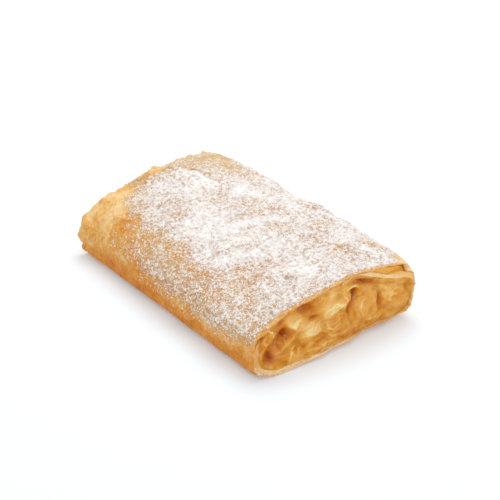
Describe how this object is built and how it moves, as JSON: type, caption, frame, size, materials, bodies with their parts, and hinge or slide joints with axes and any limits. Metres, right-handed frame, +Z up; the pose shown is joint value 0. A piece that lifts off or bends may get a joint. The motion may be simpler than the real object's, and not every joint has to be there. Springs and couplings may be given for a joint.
{
  "type": "apple strudel portion",
  "caption": "Flat rectangular portion of apple strudel: thin flaky pastry rolled round apple filling, cut straight at one end, folded on its sides and dusted with icing sugar.",
  "frame": {"origin": "on the underside, below the middle of the bounding box", "axes": "+Z up, +X along the roll towards the straight cut, +Y across towards the thick rounded side"},
  "size_m": [0.13, 0.0824, 0.0308],
  "materials": {
    "baked_pastry": "dry golden flaky crust",
    "apple_filling": "moist translucent stewed apple",
    "icing_sugar": "fine dry white powder"
  },
  "bodies": {
    "root": {"pastry": "baked_pastry", "filling": "apple_filling"}
  },
  "joints": []
}
